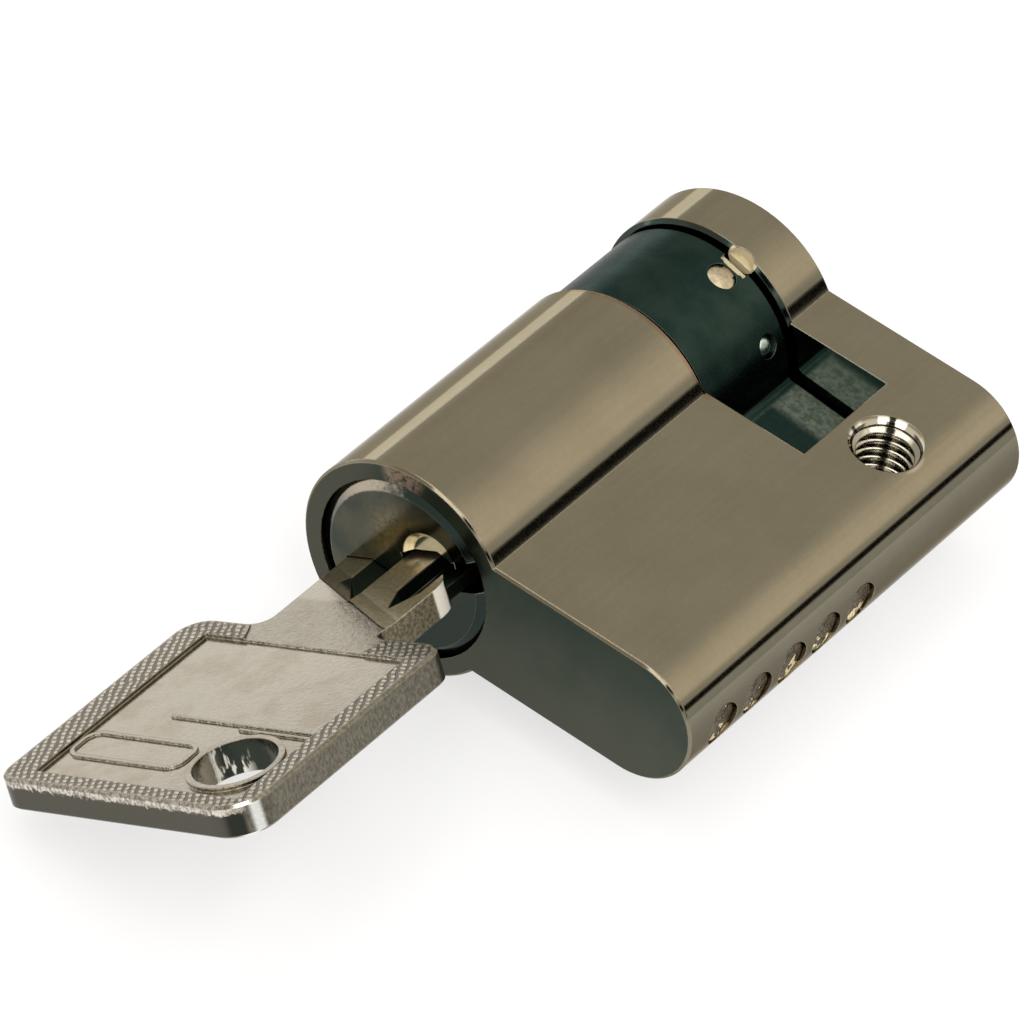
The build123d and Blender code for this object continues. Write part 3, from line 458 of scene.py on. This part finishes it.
def key_finish(graph, place, normal):
    """Stamped nickel silver: smooth panel, hatched rim, pitted neck, and sides as the punch left them, with
    painted shade and highlights on the ring hole, the bow's end and corner, and the blade.
    """
    local = key_frame(graph, place)
    w, y, n = graph.split(local)
    nw, ny, nn = graph.split(turned_to_key(graph, normal))
    out = graph.minus(FRONT_Y, y)
    ring = graph.distance(w, out, RING_HOLE)
    soft = rounded(graph, 0.12)
    pits = graph.noise(local, 3.2, 4.0, 0.65)
    grit = graph.noise(local, 12.0, 3.0)
    stain = graph.noise(local, 0.45, 3.0)
    grooves = graph.noise(graph.scaled(local, (1.0, 1.0, 0.6)), 4.2, 4.0, 0.7)
    streaks = graph.noise(graph.scaled(local, (1.0, 1.0, 0.3)), 1.5, 3.0)
    flat = graph.step(graph.absolute(nn), 0.8, 0.95)
    side = graph.inverse(flat)
    colour = graph.mix(graph.step(pits, 0.35, 0.65), *KEY)
    colour = graph.mix(graph.times(graph.step(stain, 0.45, 0.7), 0.6), colour, KEY_STAIN)

    # Hatch on the rim, between the panel and the plain border of the bow's edge
    left, right, top, end = PANEL

    def panel(margin, softness):
        return graph.times(graph.band(w, left - margin, right + margin, softness),
                           graph.band(out, top - margin, end + margin, softness))

    near_edge = edges(graph, rounded(graph, 0.4), 0.985)
    border = graph.times(near_edge, graph.inverse(panel(0.5, 0.05)))
    corner_left = graph.step(graph.plus(w, graph.times(out, -0.71)), -12.6, -12.7)
    corner_right = graph.step(graph.plus(w, graph.times(out, 0.41)), 11.55, 11.65)
    beyond_neck = graph.largest(graph.step(out, top + 0.3, top + 0.4), corner_left, corner_right)
    rim = graph.times(graph.step(graph.absolute(n), RIM_TOP - 0.05, RIM_TOP - 0.02), flat, beyond_neck,
                      graph.step(ring, 3.4, 3.5), graph.inverse(panel(0.0, 0.02)), graph.inverse(border))
    beads = hatch(graph, w, out)
    colour = graph.mix(rim, colour, graph.mix(beads, *KEY_HATCH))

    # Wall of the ring hole, painted as a reflection: dark on its side towards the blade, brown towards the
    # bow's end, with streaks and painted glints
    hole = graph.times(side, graph.step(ring, 3.3, 3.2))
    across = graph.minus(w, RING_HOLE[0])
    ahead = graph.minus(out, RING_HOLE[1])
    wall_reflection = graph.mix(graph.step(ahead, -1.5, -0.5), *HOLE_REFLECTION)
    wall_reflection = graph.mix(graph.times(graph.step(streaks, 0.5, 0.62), 0.4), wall_reflection, HOLE_STREAKS)
    glints = graph.times(graph.band(ahead, -2.6, -0.7, 0.3), graph.step(across, 0.0, -1.5),
                         graph.step(streaks, 0.53, 0.6))
    colour = graph.mix(hole, colour, graph.mix(glints, wall_reflection, HOLE_GLINTS))

    # Punched sides of the bow, its end painted dark as shade with a burr above, and on the corner a painted
    # dark band and a painted highlight
    outer = graph.times(side, graph.step(out, 10.2, 10.4), graph.step(ring, 3.2, 3.3))
    end_side = graph.times(outer, graph.step(ny, -0.6, -0.8))
    uneven = graph.minus(graph.noise(local, 1.9, 4.0, 0.7), 0.5)
    burr = graph.times(end_side, graph.step(graph.plus(n, graph.times(uneven, 1.3)), 0.52, 0.66))
    corner = graph.times(outer, graph.step(w, 8.6, 9.2), graph.step(out, 28.9, 29.3))
    corner_highlight = graph.times(corner, graph.band(ny, -0.58, -0.36, 0.06), graph.step(grooves, 0.25, 0.4))
    colour = graph.mix(outer, colour, graph.mix(graph.step(grooves, 0.36, 0.62), *KEY_PUNCHED))
    colour = graph.mix(end_side, colour, KEY_END_SHADE)
    colour = graph.mix(graph.times(corner, graph.band(ny, -0.95, -0.72, 0.04)), colour, SHADED)
    colour = graph.mix(burr, colour, graph.mix(graph.step(grooves, 0.4, 0.6), *KEY_BURR))
    colour = graph.mix(corner_highlight, colour, KEY_CORNER_HIGHLIGHT)

    # Blade, with painted shadow in its pocket, and the flank with a painted highlight on the shoulder and
    # painted shade at the face
    blade = graph.times(graph.step(out, 9.0, 8.6), graph.step(n, 1.098, 1.08))
    blade_colour = graph.mix(graph.step(pits, 0.4, 0.65), *BLADE)
    colour = graph.mix(graph.times(blade, 0.8), colour, blade_colour)
    pocket = graph.times(graph.step(out, 6.5, 6.3), graph.band(w, -2.5, 5.0, 0.05), graph.step(n, 0.9, 0.75))
    colour = graph.mix(pocket, colour, BLADE_POCKET_SHADOW)
    flank = graph.times(side, graph.step(out, 9.6, 9.2), graph.step(nw, 0.5, 0.7), graph.step(w, 4.6, 4.9))
    colour = graph.mix(flank, colour, graph.mix(graph.step(pits, 0.4, 0.6), *FLANK))
    shoulder_highlight = graph.times(flank, graph.band(out, 2.15, 3.7, 0.15))
    colour = graph.mix(shoulder_highlight, colour, SHOULDER_HIGHLIGHT)
    colour = graph.mix(graph.times(flank, graph.step(out, 2.2, 1.9)), colour, FLANK_SHADE_AT_FACE)
    colour = graph.mix(graph.times(edges(graph, soft), 0.45, graph.inverse(end_side)), colour, KEY_EDGE)

    rough = graph.step(pits, 0.3, 0.7, 0.1, 0.19)
    for mask, roughness in ((outer, 0.27), (blade, 0.36), (flank, 0.42), (burr, 0.16)):
        rough = graph.blend(mask, rough, roughness)
    rough = graph.blend(graph.largest(hole, corner_highlight), rough, 0.07)
    neck = graph.times(flat, graph.band(out, 6.5, 12.2, 0.4))
    pitted = graph.blend(neck, graph.times(pits, 0.7), graph.times(pits, 1.8))
    height = graph.plus(pitted, graph.times(grit, 0.2), graph.times(rim, beads, 2.2),
                        graph.times(burr, grooves, 7.0))
    return {"Base Color": colour, "Roughness": rough, "Metallic": graph.inverse(graph.times(shoulder_highlight, 0.8)),
            "Normal": graph.bump(height, 0.04, 0.5, soft)}


def chamber_finish(graph, place, normal):
    """Staked brass stopper: dark bronze, dented, with painted glints, more of them low down."""
    z = graph.split(place)[2]
    dents = graph.noise(place, 1.1, 2.0, 0.5, 0.6)
    scars = graph.noise(place, 3.4, 4.0, 0.7, 0.4)
    colour = graph.mix(graph.step(scars, 0.35, 0.6), *CHAMBER_BRONZE)
    glints = graph.minus(dents, graph.times(z, 0.13))
    colour = graph.mix(graph.step(glints, 0.62, 0.66), colour, CHAMBER_GLINTS)
    height = graph.plus(dents, graph.times(scars, 0.25))
    return {"Base Color": colour, "Roughness": graph.step(scars, 0.3, 0.7, 0.12, 0.24),
            "Normal": graph.bump(height, 0.5, 0.9, rounded(graph, 0.12))}


def turned(colour, roughness=0.22):
    """Finish of a small turned piece: one metal with faint variation."""
    def describe(graph, place, normal):
        grain = graph.noise(place, 4.0, 4.0, 0.6)
        darker = tuple(0.75 * value for value in colour)
        return {"Base Color": graph.mix(graph.step(grain, 0.35, 0.65), darker, colour),
                "Roughness": graph.step(grain, 0.3, 0.7, roughness, roughness + 0.12),
                "Normal": graph.bump(grain, 0.02, 0.4, rounded(graph, 0.05))}
    return describe


def paint(material, *nodes):
    for node in nodes:
        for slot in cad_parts[node].material_slots:
            slot.material = material


def numbered(stem):
    return [f"{stem}_{number}" for number in range(1, PINS + 1)]


def finish_nodes():
    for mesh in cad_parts.values():
        mesh.data.shade_smooth()
        mesh.data.set_sharp_from_angle(angle=radians(28))
    paint(metal("nickel_housing", housing_finish), "housing")
    paint(metal("olive_plug", plug_finish), "plug")
    paint(metal("dark_cam", cam_finish), "cam")
    paint(metal("steel_ball", turned(BALL_STEEL, 0.24)), "cam_ball")
    paint(metal("brass_button", turned(BUTTON_BRASS, 0.25)), "release_button")
    paint(metal("clip_steel", turned(STEEL)), "retaining_clip")
    paint(metal("spring_steel", turned(STEEL)), "button_spring", *numbered("pin_spring"))
    paint(metal("brass_pins", turned(PIN_BRASS)), *numbered("key_pin"), *numbered("driver_pin"))
    paint(metal("chamber_brass", chamber_finish), *numbered("chamber_plug"))
    paint(metal("nickel_silver_key", key_finish), "key")


def spring(node, body, push):
    """Coil that takes a spring's place: a copy of its mesh on the body, with the spring hidden. The push is
    not used.
    """
    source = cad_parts[node]
    coil = bpy.data.objects.new(node + "_coil", source.data.copy())
    bpy.context.scene.collection.objects.link(coil)
    push = Vector(push).normalized()
    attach(coil, body)
    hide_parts(node)
    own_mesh(coil)


def springs():
    for number in range(1, PINS + 1):
        spring(f"pin_spring_{number}", "housing", (1, 0, 0))
    spring("button_spring", "core", BUTTON_PUSH)


def floor():
    """Round pale floor. What the camera and the metal see of it is lifted to white, and the shadow stays."""
    below_barrel = FLOOR_Z * MM - 0.00002
    bpy.ops.mesh.primitive_circle_add(vertices=96, radius=FLOOR_R * MM, fill_type="NGON",
                                      location=(AXIS_X * MM, 0, below_barrel))
    disc = bpy.context.object
    disc.name = "floor"
    material = bpy.data.materials.new("floor_paper")
    graph = Graph(material)
    rays = graph.add("ShaderNodeLightPath").outputs
    seen = graph.largest(rays["Is Camera Ray"], rays["Is Glossy Ray"], rays["Is Transmission Ray"])
    paper = graph.add("ShaderNodeBsdfDiffuse", {"Color": FLOOR_PAPER})
    glow = graph.add("ShaderNodeEmission", {"Color": WHITE, "Strength": graph.times(seen, 0.66)})
    both = graph.add("ShaderNodeAddShader", {0: paper.outputs[0], 1: glow.outputs[0]})
    graph.output("ShaderNodeOutputMaterial", both)
    disc.data.materials.append(material)


def strip_light():
    """Low strip light that stands on the floor behind the object's left, for the light band on the barrel."""
    middle = Vector((-117.0, 61.0, 5.25)) * MM
    half_length = Vector((0.64, 0.77, 0)) * 130 * MM
    half_height = Vector((0, 0, 13.7)) * MM
    mesh = bpy.data.meshes.new("strip_light")
    corners = [middle - half_length - half_height, middle + half_length - half_height,
               middle + half_length + half_height, middle - half_length + half_height]
    mesh.from_pydata(corners, [], [(0, 1, 2, 3)])
    card = bpy.data.objects.new("strip_light", mesh)
    bpy.context.scene.collection.objects.link(card)
    material = bpy.data.materials.new("strip_glow")
    graph = Graph(material)
    glow = graph.add("ShaderNodeEmission", {"Color": WHITE, "Strength": 2.4})
    graph.output("ShaderNodeOutputMaterial", glow)
    mesh.materials.append(material)
    card.visible_camera = False


def studio():
    """Soft studio, brighter to the right and overhead, with a dark gap and two soft boxes."""
    world = bpy.data.worlds.new("studio")
    bpy.context.scene.world = world
    graph = Graph(world)
    x, y, z = graph.split(graph.add("ShaderNodeTexCoord").outputs["Generated"])
    right = graph.step(x, 0.4, 0.6)

    above = graph.mix(graph.step(x, -0.1, 0.55), STUDIO_LEFT, STUDIO_RIGHT)
    low_right = graph.times(graph.step(x, 0.5, 0.6), graph.step(z, 0.46, 0.34))
    above = graph.mix(low_right, above, STUDIO_RIGHT_LOW)
    below = graph.mix(right, *STUDIO_BELOW)
    colour = graph.mix(graph.step(z, 0.08, 0.24), below, above)
    gap = graph.times(right, graph.band(z, 0.165, 0.285, 0.02), 0.985)
    colour = graph.mix(gap, colour, BLACK)
    colour = graph.mix(graph.step(z, 0.78, 0.84), colour, STUDIO_TOP)

    # Upper part in front of the object: two soft boxes beside a dark strip, in a dimmer surround
    toward = graph.weigh(x, y, SIGHT_TOWARD)
    aside = graph.absolute(graph.weigh(x, y, SIGHT_ACROSS))
    high = graph.times(graph.step(toward, -0.16, -0.08), graph.step(z, 0.4, 0.5))
    colour = graph.mix(high, colour, STUDIO_FRONT)
    colour = graph.mix(graph.times(high, graph.step(aside, 0.54, 0.48)), colour, SOFT_BOXES)
    colour = graph.mix(graph.times(high, graph.step(aside, 0.15, 0.1), 0.98), colour, BLACK)
    background = graph.add("ShaderNodeBackground", {"Color": colour, "Strength": 1.0})
    graph.output("ShaderNodeOutputWorld", background)


def camera():
    """Long lens, rolled a little, looking down at the object from its front right, as fitted to the photo."""
    right = Vector((0.79074, 0.59168, 0.15697))
    down = Vector((0.50648, -0.48834, -0.71064))
    forward = Vector((-0.34382, 0.64143, -0.68583))
    place = Vector((195.34, -416.08, 423.52)) * MM
    data = bpy.data.cameras.new("camera")
    data.lens = 314.97
    data.sensor_width = 36
    data.clip_start = 0.05
    data.clip_end = 20
    eye = bpy.data.objects.new("camera", data)
    bpy.context.scene.collection.objects.link(eye)
    turn = Matrix((right, -down, -forward)).transposed().to_4x4()
    eye.matrix_world = Matrix.Translation(place) @ turn
    bpy.context.scene.camera = eye


finish_nodes()
springs()
floor()
strip_light()
studio()
camera()
bpy.context.scene.view_settings.view_transform = "Standard"
